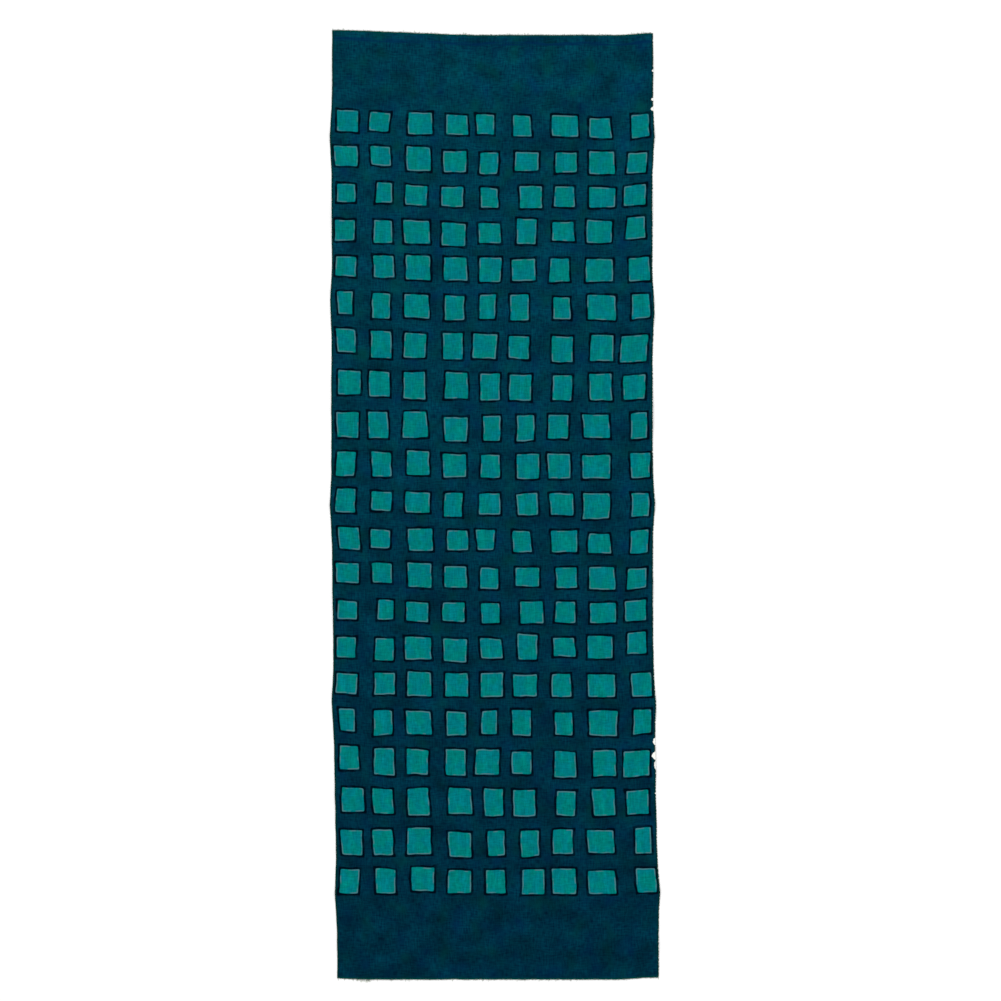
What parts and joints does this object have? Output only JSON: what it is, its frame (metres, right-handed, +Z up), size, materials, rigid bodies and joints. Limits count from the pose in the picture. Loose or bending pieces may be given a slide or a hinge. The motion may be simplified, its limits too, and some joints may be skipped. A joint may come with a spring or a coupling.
{
  "type": "tenugui towel",
  "caption": "Long narrow cotton hand towel lying open and flat, dyed deep blue-green with rows of paler outlined blocks and plain bands at both ends.",
  "frame": {"origin": "on the resting surface, under the middle of the cloth's outline", "axes": "+X across the cloth towards its right selvedge, +Y along the cloth towards its far cut end, +Z up out of its face"},
  "size_m": [0.3496, 1.005, 0.0025],
  "materials": {
    "dyed_cotton": "matt plain-woven cotton, dyed through"
  },
  "bodies": {
    "root": {"tenugui_cloth": "dyed_cotton"}
  },
  "joints": []
}
